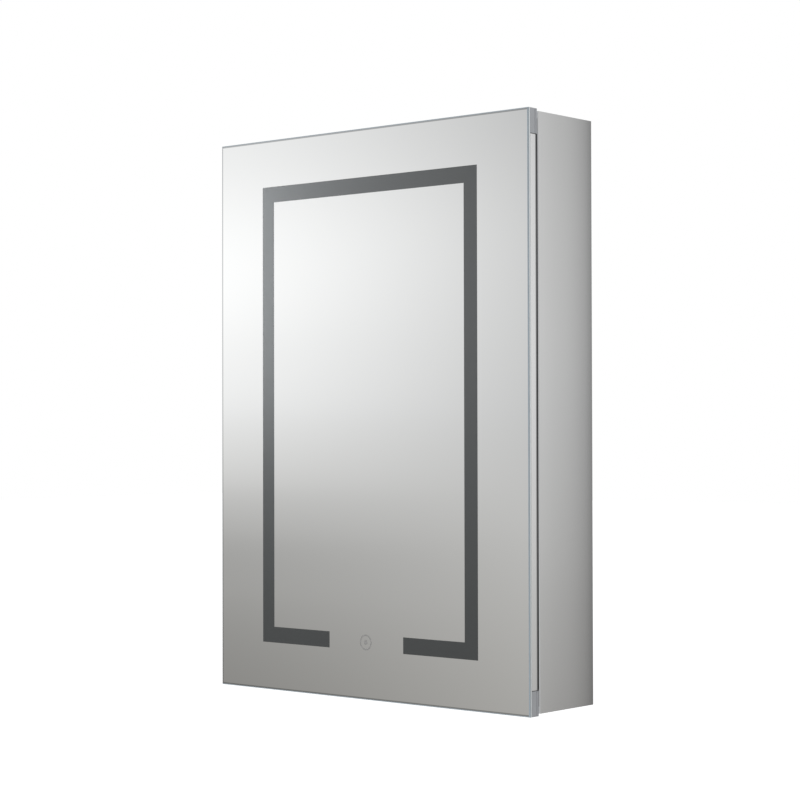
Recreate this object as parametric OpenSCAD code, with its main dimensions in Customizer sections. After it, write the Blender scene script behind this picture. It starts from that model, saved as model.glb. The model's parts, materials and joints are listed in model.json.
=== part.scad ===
// Wall-hung mirror cabinet with a back-lit hinged mirror door.
// +X is to the right seen from the front, -Y is the front, +Z is up.
// The origin is the centre of the cabinet's back, on the wall plane.

/* [Door] */
// Width of the door and its mirror
door_w = 500; // [420:5:700]
// Height of the door and its mirror
door_h = 700; // [580:5:900]
// Thickness of the mirror glass
glass_t = 4; // [3:0.5:6]
// Width of the polished bevel round the front of the glass
arris = 1.2; // [0.6:0.1:1.6]
// Thickness of the tape between the glass and the door frame
tape_t = 0.5; // [0.3:0.1:1]
// Width of that tape
tape_w = 11; // [8:1:12]
// Thickness of the mirror on the inside of the door
inner_glass_t = 3; // [2:0.5:4]

/* [Door frame] */
// Depth of the door frame, front to back
frame_d = 14.5; // [13:0.5:20]
// Width of the door frame, seen from the front
frame_w = 16; // [15:1:22]
// Wall thickness of the door frame
frame_wall = 1.6; // [1.2:0.1:2]
// How far the rear edge of the door frame is set in
pull_in = 1; // [0.6:0.1:1.2]
// Depth of that set-in rear edge, front to back
pull_d = 5; // [4:0.5:6]
// Radius along the rear edge of the door frame
rear_r = 2.6; // [2.6:0.1:3]
// Width of the ledge that carries the inner mirror
ledge_w = 5; // [3:1:8]
// Thickness of that ledge
ledge_t = 1.5; // [1:0.1:2]
// Length of a corner block along each edge
block_l = 30; // [24:1:40]
// Length of the corner block's spigot inside the frame
spigot_l = 14; // [8:1:16]
// Width of the groove round a corner block
groove_w = 0.7; // [0.4:0.1:1.2]
// Depth of the groove round a corner block
groove_d = 0.5; // [0.3:0.1:0.8]

/* [Lighting] */
// Width of the frosted band
band_w = 20; // [14:1:30]
// Distance from the door's sides to the frosted band
band_side = 75; // [50:1:100]
// Distance from the door's top and bottom to the frosted band
band_end = 60; // [45:1:90]
// Gap in the frosted band at the bottom
band_gap = 120; // [80:5:160]
// Depth of the frosted finish modelled in the glass
frost_t = 0.5; // [0.3:0.1:0.8]
// Outer diameter of the touch ring
ring_d = 19; // [15:1:26]
// Line width of the touch ring
ring_line = 1.6; // [1:0.1:2.5]
// Diameter of the dot inside the touch ring
dot_d = 5.6; // [4:0.2:8]
// Depth of the light channels behind the band
channel_d = 9; // [7:0.5:9.5]
// Wall thickness of the light channels
channel_wall = 1.2; // [1:0.1:1.5]
// Thickness of the diffuser strips
diffuser_t = 1.5; // [1:0.1:2]
// Width of a light strip
strip_w = 10; // [8:1:12]
// Thickness of a light strip's board
strip_t = 1; // [0.6:0.1:1.6]
// Spacing of the lamps along a light strip
lamp_pitch = 20; // [14:1:40]
// Width of the heated pad behind the mirror
pad_w = 240; // [150:5:280]
// Height of the heated pad behind the mirror
pad_h = 340; // [200:5:400]
// Thickness of the heated pad
pad_t = 0.4; // [0.3:0.1:0.8]

/* [Cabinet body] */
// How far the door overhangs the body on every side
overhang = 2; // [2:0.1:3]
// Depth of the body, from the wall to its front face
body_d = 106; // [90:1:160]
// Thickness of the hollow side, top and bottom panels
panel_t = 14; // [13.5:0.5:20]
// Wall thickness of those hollow panels
panel_wall = 1.4; // [1:0.1:2]
// Bevel along the outer front edge of the body
front_bevel = 1; // [1:0.1:1.2]
// Thickness of the back panel
back_t = 1.5; // [1:0.1:2]
// Distance from the wall to the back panel
back_stand = 10.6; // [10:0.1:16]
// Depth of the groove that holds the back panel
back_groove = 5; // [4:0.5:6]
// Length of each leg of a corner cleat
cleat_l = 40; // [30:1:60]
// Height of the plastic corner buffers on the front edge
buffer_h = 8.5; // [6:0.5:12]
// Width of the seal strips on the front edge
seal_w = 8; // [5:0.5:9]

/* [Wall fixing] */
// Horizontal spacing of the wall screws
fix_w = 420; // [300:5:440]
// Vertical spacing of the wall screws
fix_h = 520; // [400:5:520]
// Diameter of the wall screw holes
fix_hole_d = 6.5; // [5:0.5:8]
// Side of the square spacers behind the back panel
spacer_w = 38; // [28:1:40]

/* [Hinge] */
// Diameter of the hinge knuckles, which also sets the gap behind the door
knuckle_d = 3; // [3:0.1:3.6]
// Diameter of the hinge pin
pin_d = 1.6; // [1.4:0.1:1.8]
// Thickness of the hinge leaves
leaf_t = 0.8; // [0.6:0.1:0.9]
// Width of a hinge leaf from the pin's axis
leaf_w = 12.5; // [11:0.5:12.5]
// Length of one knuckle with its end gap
knuckle_pitch = 30; // [24:1:36]
// Number of knuckles, an odd number
knuckle_n = 21; // [15:2:21]
// Diameter of the rivets
rivet_d = 3.2; // [2.4:0.1:3.6]

/* [Shelves] */
// Thickness of the glass shelves
shelf_t = 5; // [4:0.5:6]
// Depth of the glass shelves
shelf_d = 84; // [60:1:84]
// Height of the lowest shelf above the cabinet floor
shelf_first = 150; // [100:1:160]
// Height from one shelf to the next
shelf_step = 154; // [100:1:156]
// Diameter of the shelf pins
shelf_pin_d = 5; // [4:0.5:6]
// Spacing of the shelf pin holes
pin_pitch = 20; // [15:1:32]

/* [Electrical] */
// Height of the electrical compartment at the top
bay_h = 52; // [50:1:60]
// Depth of the electrical compartment from the back panel
bay_d = 60; // [50:1:64]
// Thickness of the folded cover
cover_t = 1; // [0.8:0.1:1.5]
// Length of the driver
driver_l = 170; // [120:5:180]
// Height of the driver
driver_h = 40; // [30:1:40]
// Thickness of the driver
driver_t = 24; // [18:1:28]
// Diameter of the hole that the supply cord enters by
entry_d = 9; // [6:0.5:12]
// Diameter of the lead to the door
lead_d = 4; // [3:0.1:5]

/* [Catches] */
// Height of the two magnetic catches above and below the middle
catch_z = 215; // [200:5:230]
// Height of a catch housing
catch_h = 46; // [40:1:60]
// Width of a catch housing
catch_w = 12; // [10:1:14]
// Depth of a catch housing
catch_d = 15; // [12:1:20]

/* [Hidden] */
$fn = 48;
eps = 0.01;
fit = 0.2;                 // gap on each side of a piece that sits in another
press = 0.05;              // gap on each side of a close-fitting piece
run = 0.05;                // radial gap between the hinge pin and a knuckle
touch_gap = 0.4;           // gap between the seal and the closed door

gap = knuckle_d;
body_w = door_w - 2 * overhang;
body_h = door_h - 2 * overhang;
in_w = body_w - 2 * panel_t;
in_h = body_h - 2 * panel_t;
body_front = -body_d;
door_back = -body_d - gap;
frame_y = door_back - frame_d;
pane_y = frame_y - tape_t - glass_t;
pane_back = pane_y + glass_t;

// corner cleats, which stop short of the front seal and the back groove
cleat_front = 16;
cleat_back = 30;

// hinge
pin_x = -body_w / 2;
pin_y = (body_front + door_back) / 2;
knuckle_r = knuckle_d / 2;
knuckle_gap = 0.4;
leaf_clear = 0.5;          // from a leaf's notch to the other leaf's knuckle
hinge_l = knuckle_pitch * knuckle_n;
rivet_x = pin_x + (knuckle_r + leaf_clear + leaf_w) / 2;
rivet_head_d = 5;
rivet_head_t = 0.55;
rivet_bulb_d = 4.8;
rivet_bulb_t = 3;
rivet_end = knuckle_pitch / 2;
rivets_body = 7;
rivets_door = 6;

// frosted band, measured on the face of the door
band_x = door_w / 2 - band_side;
band_z = door_h / 2 - band_end;
icon_z = -band_z + band_w / 2;
channel_y = pane_back;

// back panel
back_y = -back_stand - back_t;
back_w = in_w + 2 * (back_groove - fit);
back_h = in_h + 2 * (back_groove - fit);
groove_wall = 1.5;

// shelves
shelf_n = 3;
floor_z = -in_h / 2;
ceiling_z = in_h / 2;
shelf_back = back_y - 2;
pin_back_y = shelf_back - 16;
pin_front_y = shelf_back - shelf_d + 16;
pin_steps = 2;
pin_in = 8;
peg_l = 8;
peg_d = 6;
collar_d = 8.5;
collar_t = 1.2;
shelf_side = collar_t + 0.3;

// electrical compartment
bay_z = ceiling_z - bay_h;
bay_y = back_y - bay_d;
cover_lip = 11;
driver_z = bay_z + bay_h / 2 + 1;
driver_x = -35;
driver_r = 3;
ear_l = 12;
ear_t = 3;
ear_h = 16;
ear_screw_x = driver_l / 2 + ear_l / 2;
terminal_l = 36;
terminal_d = 18;
terminal_h = 20;
terminal_x = 120;
terminal_pitch = 11;
terminal_hole_d = 4;
terminal_hole_deep = 5;
supply_depth = 10;         // from the back panel to the supply wires
supply_pitch = 5;
wire_d = 2;
lead_bore = lead_d + 4 * fit;     // loose holes for the lead in the door
entry_x = 190;
entry_z = driver_z;
grommet_rim_t = 1.6;
grommet_rim = 3;
grommet_wall = 2.2;
screw_d = 3;
screw_head_d = 5.6;
screw_head_t = 1.8;
slot_l = 3.2;
slot_w = 0.8;
slot_d = 0.9;

// the box inside the door where its wires are joined
junction_back = door_back - inner_glass_t - fit;
junction_x = -door_w / 2 + frame_w + ledge_w + fit;
junction_d = 8;
junction_l = 30;
junction_h = 22;
junction_wire_y = junction_back - junction_d / 2;
lead_in = 3.5;             // how far the lead reaches into that box

// the lead to the door: from the driver, through the cover, down beside the hinge
// and into the door, given as steps from the grommets that it passes
cover_hole = [-in_w / 2 + 10, back_y - 42, bay_z];
door_hole = [-in_w / 2 + 16, door_back, bay_z - 110];
lead_start = [driver_x - driver_l / 2 - 0.2, back_y - 13, driver_z];
lead_route = [
    lead_start, lead_start - [8, 0, 0], lead_start - [20, 1, -1], lead_start - [38, 4, -3],
    cover_hole + [42, 17, 29], cover_hole + [20, 8, 30], cover_hole + [5, 1, 21],
    cover_hole + [0, 0, 10], cover_hole, cover_hole - [0, 0, 10],
    cover_hole - [0, 2, 24], cover_hole - [0, 6, 38],
    door_hole + [-5, 43, 58], door_hole + [-4, 36, 44], door_hole + [-3, 28, 31],
    door_hole + [-2, 20, 19], door_hole + [-1, 13, 9], door_hole + [0, 8, 3],
    door_hole + [0, 4, 0], door_hole - [0, 2, 0], [door_hole.x, junction_back - lead_in, door_hole.z],
];

// touch sensor behind the ring
sensor_l = 36;
sensor_h = 18;
sensor_t = 6;
sensor_drop = 22;          // from the band's outer edge down to the sensor's wire

// lamps on the light strips
lamp_l = 3.5;
lamp_w = 2.8;
lamp_t = 1;
lamp_proud = 0.4;
strip_end = 5;

// catches
catch_x = in_w / 2 - catch_w;
strike_t = 1.2;
strike_gap = 0.3;
pole_front = door_back + strike_t + strike_gap;
catch_front = pole_front + 1;
pole_t = 1.5;
pocket_d = 8;
pocket_end = 4;
pocket_slack = 1.5;
strike_in = 3;             // a strike plate reaches this far past its catch
catch_screw_back = 4;
catch_screw_in = 6;

// ---------- shared shapes ----------

// copies to the left and the right, and to the top and the bottom
module left_right() { children(); mirror([1, 0, 0]) children(); }
module up_down() { children(); mirror([0, 0, 1]) children(); }

// a box given by its two opposite corners
module span(a, b) { translate(a) cube(b - a); }

// a cylinder along Y from y0 to y1
module rod_y(d, x, z, y0, y1) {
    translate([x, y0, z]) rotate([-90, 0, 0]) cylinder(d = d, h = y1 - y0);
}

// a cylinder along X from x0 to x1
module rod_x(d, y, z, x0, x1) {
    translate([x0, y, z]) rotate([0, 90, 0]) cylinder(d = d, h = x1 - x0);
}

// a trapezoid across the cabinet that gives a panel mitred ends
module mitre(outer, inner, across) {
    translate([0, across, 0]) rotate([90, 0, 0])
        linear_extrude(height = 2 * across)
            polygon([[-outer, 0], [outer, 0], [inner, -panel_t], [-inner, -panel_t]]);
}

// rings along a list of points, each square to the route
function unit(v) = v / norm(v);
function heading(p, i) =
    unit(p[min(i + 1, len(p) - 1)] - p[max(i - 1, 0)]);
function side_of(t) = unit(cross(t, abs(t.z) > 0.9 ? [0, 1, 0] : [0, 0, 1]));
function ring(p, i, r, n) =
    let (t = heading(p, i), a = side_of(t), b = cross(t, a))
    [for (k = [0 : n - 1]) p[i] + r * (cos(360 * k / n) * a + sin(360 * k / n) * b)];

// a round wire along a list of points
module wire(route, d, sides = 8) {
    n = len(route);
    points = [for (i = [0 : n - 1]) each ring(route, i, d / 2, sides)];
    polyhedron(points, concat(
        [[for (k = [0 : sides - 1]) k]],
        [for (i = [0 : n - 2]) for (k = [0 : sides - 1])
            let (a = i * sides + k, b = i * sides + (k + 1) % sides)
            [a, a + sides, b + sides, b]],
        [[for (k = [sides - 1 : -1 : 0]) (n - 1) * sides + k]]));
}

// a rubber grommet along Y through a sheet that runs from y0 to y1
module grommet(x, z, bore, y0, y1) {
    rim = bore + 2 * (grommet_wall + grommet_rim);
    difference() {
        union() {
            rod_y(bore + 2 * grommet_wall, x, z, y0 - grommet_rim_t, y1 + grommet_rim_t);
            rod_y(rim, x, z, y0 - grommet_rim_t, y0);
            rod_y(rim, x, z, y1, y1 + grommet_rim_t);
        }
        rod_y(bore, x, z, y0 - 2 * grommet_rim_t, y1 + 2 * grommet_rim_t);
    }
}

// a pan-head screw along +Y: its head starts at y, its shank is length long
module pan_screw(x, z, y, length) {
    difference() {
        union() {
            rod_y(screw_head_d, x, z, y - screw_head_t, y);
            rod_y(screw_d, x, z, y - eps, y + length);
        }
        translate([x, y - screw_head_t - eps, z]) {
            translate([-slot_l / 2, 0, -slot_w / 2]) cube([slot_l, slot_d, slot_w]);
            translate([-slot_w / 2, 0, -slot_l / 2]) cube([slot_w, slot_d, slot_l]);
        }
    }
}

// ---------- cabinet body ----------

// section of a hollow panel: X from its outer face, Y from the wall
module panel_section() {
    chamber_front = back_y - fit - groove_wall;
    chamber_rear = -back_stand + fit + groove_wall;
    difference() {
        translate([0, body_front]) polygon([
            [front_bevel, 0], [panel_t, 0], [panel_t, body_d], [0, body_d], [0, front_bevel]]);
        translate([panel_wall, body_front + panel_wall])
            square([panel_t - 2 * panel_wall, chamber_front - body_front - panel_wall]);
        translate([panel_wall, chamber_rear])
            square([panel_t - 2 * panel_wall, -chamber_rear - panel_wall]);
        translate([panel_t - back_groove, back_y - fit])
            square([back_groove + 1, back_t + 2 * fit]);
    }
}

// an upright panel on the left, with mitred ends
module upright() {
    intersection() {
        translate([-body_w / 2, 0, -body_h / 2])
            linear_extrude(height = body_h) panel_section();
        translate([-body_w / 2, 0, 0]) rotate([0, -90, 0])
            mitre(body_h / 2, in_h / 2, body_d * 2);
    }
}

// a level panel at the top, with mitred ends
module level() {
    intersection() {
        translate([-body_w / 2, 0, body_h / 2]) rotate([0, 90, 0])
            linear_extrude(height = body_w) panel_section();
        translate([0, 0, body_h / 2]) mitre(body_w / 2, in_w / 2, body_d * 2);
    }
}

// the holes for the shelf pins in the left upright
module pin_holes() {
    for (y = [pin_back_y, pin_front_y])
        for (s = [0 : shelf_n - 1])
            for (k = [-pin_steps : pin_steps])
                rod_x(shelf_pin_d + 2 * fit, y,
                      shelf_z(s) - peg_d / 2 + k * pin_pitch,
                      -in_w / 2 - panel_wall - 1, -in_w / 2 + 1);
}

module side_panel_left() {
    color("silver") difference() {
        upright();
        pin_holes();
        for (z = rivet_rows(rivets_body, hinge_l / 2 - rivet_end - knuckle_pitch))
            rod_y(rivet_d + fit, rivet_x, z, body_front - 1, body_front + panel_wall + 1);
    }
}

module side_panel_right() {
    color("silver") difference() {
        mirror([1, 0, 0]) { difference() { upright(); pin_holes(); } }
        for (s = [-1, 1]) for (k = [-1, 1])
            rod_x(screw_d + fit, catch_screw_y(), s * catch_z + k * catch_h / 4,
                  in_w / 2 - 1, in_w / 2 + panel_wall + 1);
    }
}

module top_panel() {
    color("silver") difference() {
        level();
        for (x = cover_screw_xs())
            translate([x, cover_screw_y(), ceiling_z - 1])
                cylinder(d = screw_d + fit, h = panel_wall + 2);
    }
}

module bottom_panel() {
    color("silver") mirror([0, 0, 1]) level();
}

// L-shaped cleats inside the mitred corners
module corner_cleats() {
    t = panel_t - 2 * panel_wall - 2 * press;
    x = body_w / 2 - panel_wall - press;
    z = body_h / 2 - panel_wall - press;
    color("gray") left_right() up_down()
        translate([0, body_front + cleat_front, 0]) rotate([90, 0, 0]) mirror([0, 0, 1])
            linear_extrude(height = body_d - cleat_front - cleat_back) polygon([
                [x, z], [x - cleat_l, z], [x - cleat_l, z - t],
                [x - t, z - t], [x - t, z - cleat_l], [x, z - cleat_l]]);
}

module back_panel() {
    color("gainsboro") difference() {
        span([-back_w / 2, back_y, -back_h / 2], [back_w / 2, back_y + back_t, back_h / 2]);
        wall_holes();
        rod_y(entry_d + 2 * grommet_wall + fit, entry_x, entry_z, back_y - 1, back_y + back_t + 1);
        for (s = [-1, 1])
            rod_y(screw_d + fit, driver_x + s * ear_screw_x, driver_z,
                  back_y - 1, back_y + back_t + 1);
    }
}

module wall_holes() {
    for (x = [-1, 1]) for (z = [-1, 1])
        rod_y(fix_hole_d, x * fix_w / 2, z * fix_h / 2, back_y - 1, 1);
}

module wall_spacers() {
    color("dimgray") difference() {
        left_right() up_down()
            translate([fix_w / 2 - spacer_w / 2, -back_stand, fix_h / 2 - spacer_w / 2])
                cube([spacer_w, back_stand, spacer_w]);
        wall_holes();
    }
}

// foam strips on the front edge: along the free side, the top and the bottom
module front_seal() {
    y0 = door_back + touch_gap;
    z1 = body_h / 2 - buffer_h;
    x1 = body_w / 2 - front_bevel;
    color("black") {
        span([x1 - seal_w, y0, -z1], [x1, body_front, z1]);
        up_down() span([-in_w / 2, y0, body_h / 2 - front_bevel - seal_w],
                       [in_w / 2, body_front, body_h / 2 - front_bevel]);
    }
}

module corner_buffers() {
    y0 = door_back + touch_gap;
    color("dimgray") left_right() up_down()
        span([body_w / 2 - panel_t + fit, y0, body_h / 2 - buffer_h],
             [body_w / 2 - front_bevel / 2, body_front, body_h / 2 - front_bevel / 2]);
}

// ---------- shelves ----------

function shelf_z(s) = floor_z + shelf_first + s * shelf_step;

module shelf(s) {
    color("lightcyan")
        span([-in_w / 2 + shelf_side, shelf_back - shelf_d, shelf_z(s)],
             [in_w / 2 - shelf_side, shelf_back, shelf_z(s) + shelf_t]);
}

module shelf_lower() { shelf(0); }
module shelf_middle() { shelf(1); }
module shelf_upper() { shelf(2); }

module shelf_pin(y, z) {
    x = -in_w / 2;
    rod_x(shelf_pin_d, y, z, x - pin_in, x + eps);
    rod_x(collar_d, y, z, x, x + collar_t);
    rod_x(peg_d, y, z, x + collar_t - eps, x + peg_l);
}

module shelf_pins() {
    color("gainsboro") left_right()
        for (s = [0 : shelf_n - 1]) for (y = [pin_back_y, pin_front_y])
            shelf_pin(y, shelf_z(s) - peg_d / 2);
}

// ---------- hinge ----------

// rows of rivets spread evenly between -reach and reach
function rivet_rows(n, reach) = [for (i = [0 : n - 1]) -reach + i * 2 * reach / (n - 1)];

// one leaf of the hinge on the side y > pin_y; first says which knuckles it has
module hinge_leaf(first, rows) {
    y1 = pin_y + knuckle_r;
    x0 = pin_x + knuckle_r + leaf_clear;
    difference() {
        union() {
            span([x0, y1 - leaf_t, -hinge_l / 2], [pin_x + leaf_w, y1, hinge_l / 2]);
            for (i = [first : 2 : knuckle_n - 1]) {
                z0 = -hinge_l / 2 + i * knuckle_pitch + knuckle_gap / 2;
                z1 = z0 + knuckle_pitch - knuckle_gap;
                span([pin_x, y1 - leaf_t, z0], [x0 + eps, y1, z1]);
                translate([pin_x, pin_y, z0]) cylinder(r = knuckle_r, h = z1 - z0);
            }
        }
        translate([pin_x, pin_y, -hinge_l / 2 - 1])
            cylinder(d = pin_d + 2 * run, h = hinge_l + 2);
        for (z = rows) rod_y(rivet_d + fit, rivet_x, z, y1 - leaf_t - 1, y1 + 1);
    }
}

module hinge_leaf_body() {
    color("silver")
        hinge_leaf(0, rivet_rows(rivets_body, hinge_l / 2 - rivet_end - knuckle_pitch));
}

module hinge_leaf_door() {
    color("silver") translate([0, 2 * pin_y, 0]) mirror([0, 1, 0])
        hinge_leaf(1, rivet_rows(rivets_door, hinge_l / 2 - rivet_end));
}

module hinge_pin() {
    color("gray") translate([pin_x, pin_y, -hinge_l / 2 - 1])
        cylinder(d = pin_d, h = hinge_l + 2);
}

// a blind rivet along +Y: its head sits on the leaf at y, its bulb behind the wall
module rivet(z, y, wall) {
    rod_y(rivet_head_d, rivet_x, z, y - rivet_head_t, y);
    rod_y(rivet_d, rivet_x, z, y - eps, y + leaf_t + wall + eps);
    rod_y(rivet_bulb_d, rivet_x, z, y + leaf_t + wall, y + leaf_t + wall + rivet_bulb_t);
}

module hinge_rivets_body() {
    color("gainsboro")
        for (z = rivet_rows(rivets_body, hinge_l / 2 - rivet_end - knuckle_pitch))
            rivet(z, body_front - leaf_t, panel_wall);
}

module hinge_rivets_door() {
    color("gainsboro") mirror([0, 1, 0])
        for (z = rivet_rows(rivets_door, hinge_l / 2 - rivet_end))
            rivet(z, -door_back - leaf_t, frame_wall);
}

// ---------- catches ----------

function catch_screw_y() = catch_front + catch_d - catch_screw_back;

// two blocks on the right wall, each with a pocket for its magnet and two screw holes
module catch_housings() {
    color("whitesmoke") for (s = [-1, 1]) difference() {
        span([catch_x, catch_front, s * catch_z - catch_h / 2],
             [in_w / 2, catch_front + catch_d, s * catch_z + catch_h / 2]);
        translate([catch_x + catch_w / 2, 0, s * catch_z]) catch_pocket(0.1);
        for (k = [-1, 1]) {
            z = s * catch_z + k * catch_h / 4;
            rod_x(screw_d + fit, catch_screw_y(), z, catch_x - 1, in_w / 2 + 1);
            rod_x(screw_head_d + fit, catch_screw_y(), z, catch_x - 1, catch_x + screw_head_t);
        }
    }
}

// the pocket in the front of a housing, which holds two plates and the magnet
module catch_pocket(clear) {
    w = 3 * pole_t + pocket_slack + 2 * clear;
    h = catch_h / 2 - pocket_end + clear;
    span([-w / 2, catch_front - 1, -h], [w / 2, catch_front + pocket_d + clear, h]);
}

module catch_magnets() {
    color("dimgray") for (s = [-1, 1])
        translate([catch_x + catch_w / 2, 0, s * catch_z])
            span([-1.5, catch_front, -catch_h / 2 + 4],
                 [1.5, catch_front + 8, catch_h / 2 - 4]);
}

module catch_pole_plates() {
    color("lightgray") for (s = [-1, 1])
        translate([catch_x + catch_w / 2, 0, s * catch_z]) left_right()
            span([1.5, pole_front, -catch_h / 2 + 4],
                 [1.5 + pole_t, catch_front + 8, catch_h / 2 - 4]);
}

module catch_screws() {
    color("gainsboro") for (s = [-1, 1]) for (k = [-1, 1]) {
        z = s * catch_z + k * catch_h / 4;
        rod_x(screw_head_d, catch_screw_y(), z, catch_x, catch_x + screw_head_t);
        rod_x(screw_d, catch_screw_y(), z, catch_x + screw_head_t - eps,
              in_w / 2 + catch_screw_in);
    }
}

module strike_plates() {
    color("lightgray") for (s = [-1, 1])
        span([catch_x - strike_in, door_back, s * catch_z - catch_h / 2],
             [in_w / 2 - 2, door_back + strike_t, s * catch_z + catch_h / 2]);
}

// ---------- electrical compartment ----------

function cover_screw_y() = bay_y - cover_lip / 2;
function cover_screw_xs() = [-in_w / 2 + 30, 0, in_w / 2 - 30];

// folded cover: a lip under the ceiling, a front and a floor
module driver_cover() {
    color("gainsboro") difference() {
        translate([-in_w / 2 + fit, 0, 0]) rotate([90, 0, 90])
            linear_extrude(height = in_w - 2 * fit) polygon([
                [bay_y - cover_lip, ceiling_z], [bay_y + cover_t, ceiling_z],
                [bay_y + cover_t, bay_z + cover_t], [back_y, bay_z + cover_t],
                [back_y, bay_z], [bay_y, bay_z],
                [bay_y, ceiling_z - cover_t], [bay_y - cover_lip, ceiling_z - cover_t]]);
        for (x = cover_screw_xs())
            translate([x, cover_screw_y(), ceiling_z - cover_t - 1])
                cylinder(d = screw_d + fit, h = cover_t + 2);
        translate([cover_hole.x, cover_hole.y, bay_z - 1])
            cylinder(d = lead_d + 2 * fit + 2 * grommet_wall + fit, h = cover_t + 2);
    }
}

module cover_screws() {
    color("gainsboro") for (x = cover_screw_xs())
        translate([x, cover_screw_y(), ceiling_z - cover_t]) {
            translate([0, 0, -screw_head_t]) cylinder(d = screw_head_d, h = screw_head_t);
            translate([0, 0, -eps]) cylinder(d = screw_d, h = 7);
        }
}

module led_driver() {
    r = driver_r;
    color("whitesmoke") difference() {
        union() {
            translate([driver_x, back_y, driver_z]) rotate([90, 0, 0])
                linear_extrude(height = driver_t) {
                    square([driver_l - 2 * r, driver_h], center = true);
                    square([driver_l, driver_h - 2 * r], center = true);
                    for (a = [-1, 1]) for (b = [-1, 1])
                        translate([a * (driver_l / 2 - r), b * (driver_h / 2 - r)]) circle(r);
                }
            span([driver_x - driver_l / 2 - ear_l, back_y - ear_t, driver_z - ear_h / 2],
                 [driver_x + driver_l / 2 + ear_l, back_y, driver_z + ear_h / 2]);
        }
        for (s = [-1, 1])
            rod_y(screw_d + fit, driver_x + s * ear_screw_x, driver_z,
                  back_y - ear_t - 1, back_y + 1);
    }
}

module driver_screws() {
    color("gainsboro") for (s = [-1, 1])
        pan_screw(driver_x + s * ear_screw_x, driver_z, back_y - ear_t, 8);
}

module terminal_block() {
    color("ivory") difference() {
        span([terminal_x - terminal_l / 2, back_y - terminal_d, driver_z - terminal_h / 2],
             [terminal_x + terminal_l / 2, back_y, driver_z + terminal_h / 2]);
        for (x = [-1 : 1])
            rod_y(terminal_hole_d, terminal_x + x * terminal_pitch, driver_z,
                  back_y - terminal_d - 1, back_y - terminal_d + terminal_hole_deep);
    }
}

module supply_wires() {
    color("saddlebrown") for (k = [-1 : 1])
        rod_x(wire_d, back_y - supply_depth, driver_z + k * supply_pitch,
              driver_x + driver_l / 2, terminal_x - terminal_l / 2);
}

module cable_grommet() {
    color("black") grommet(entry_x, entry_z, entry_d, back_y, back_y + back_t);
}

module cover_grommet() {
    bore = lead_d + 2 * fit;
    color("black") translate([cover_hole.x, 0, 0]) rotate([90, 0, 0])
        grommet(0, -cover_hole.y, bore, bay_z, bay_z + cover_t);
}

module door_lead() { color("white") wire(lead_route, lead_d); }

// ---------- door ----------

// the glass as a plate with a bevel round its front
module pane_blank() {
    w = door_w / 2;
    h = door_h / 2;
    intersection() {
        translate([0, 0, -h]) linear_extrude(height = 2 * h) polygon([
            [-w + arris, pane_y], [w - arris, pane_y], [w, pane_y + arris],
            [w, pane_back], [-w, pane_back], [-w, pane_y + arris]]);
        translate([-w, 0, 0]) rotate([90, 0, 90]) linear_extrude(height = 2 * w) polygon([
            [pane_y, -h + arris], [pane_y, h - arris], [pane_y + arris, h],
            [pane_back, h], [pane_back, -h], [pane_y + arris, -h]]);
    }
}

// the frosted band's outline in the plane of the glass, open at the bottom
module band_outline() {
    difference() {
        square([2 * band_x, 2 * band_z], center = true);
        square([2 * (band_x - band_w), 2 * (band_z - band_w)], center = true);
        translate([0, -band_z + band_w / 2]) square([band_gap, band_w + 1], center = true);
    }
}

module ring_outline() {
    translate([0, icon_z]) {
        difference() {
            circle(d = ring_d);
            circle(d = ring_d - 2 * ring_line);
        }
        circle(d = dot_d);
    }
}

// an outline in the plane of the glass as a plate from y0 to y1
module plate(y0, y1) {
    translate([0, y1, 0]) rotate([90, 0, 0]) linear_extrude(height = y1 - y0) children();
}

module mirror_pane() {
    color("lightsteelblue") difference() {
        pane_blank();
        plate(pane_y - 1, pane_y + frost_t) { band_outline(); ring_outline(); }
    }
}

module frosted_band() { color("lightgray") plate(pane_y, pane_y + frost_t) band_outline(); }

module touch_ring() { color("white") plate(pane_y, pane_y + frost_t) ring_outline(); }

module bonding_tape() {
    edge = 2;
    color("black") plate(pane_back, frame_y) difference() {
        square([door_w - 2 * edge, door_h - 2 * edge], center = true);
        square([door_w - 2 * edge - 2 * tape_w, door_h - 2 * edge - 2 * tape_w], center = true);
    }
}

// outline of the door frame: X from its outer face, Y from its front
module frame_outline() {
    square([frame_w, frame_d - pull_d]);
    translate([pull_in, 0]) square([frame_w - pull_in, frame_d - rear_r]);
    translate([pull_in + rear_r, 0]) square([frame_w - pull_in - rear_r, frame_d]);
    translate([pull_in + rear_r, frame_d - rear_r]) circle(rear_r);
    translate([frame_w - eps, frame_d - inner_glass_t - ledge_t])
        square([ledge_w + eps, ledge_t]);
}

module frame_section() {
    step_y = frame_d - pull_d - frame_wall;
    difference() {
        frame_outline();
        translate([frame_wall, frame_wall])
            square([frame_w - 2 * frame_wall, step_y - frame_wall]);
        translate([pull_in + frame_wall, frame_wall])
            square([frame_w - pull_in - 2 * frame_wall, frame_d - 2 * frame_wall]);
    }
}

module door_stile() {
    translate([-door_w / 2, frame_y, -door_h / 2 + block_l])
        linear_extrude(height = door_h - 2 * block_l) frame_section();
}

module door_rail() {
    translate([-door_w / 2 + block_l, frame_y, door_h / 2]) rotate([0, 90, 0])
        linear_extrude(height = door_w - 2 * block_l) frame_section();
}

module door_frame_left() {
    color("silver") difference() {
        door_stile();
        for (z = rivet_rows(rivets_door, hinge_l / 2 - rivet_end))
            rod_y(rivet_d + fit, rivet_x, z, door_back - frame_wall - 1, door_back + 1);
    }
}

module door_frame_right() { color("silver") mirror([1, 0, 0]) door_stile(); }

module door_frame_top() { color("silver") door_rail(); }

module door_frame_bottom() { color("silver") mirror([0, 0, 1]) door_rail(); }

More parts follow.
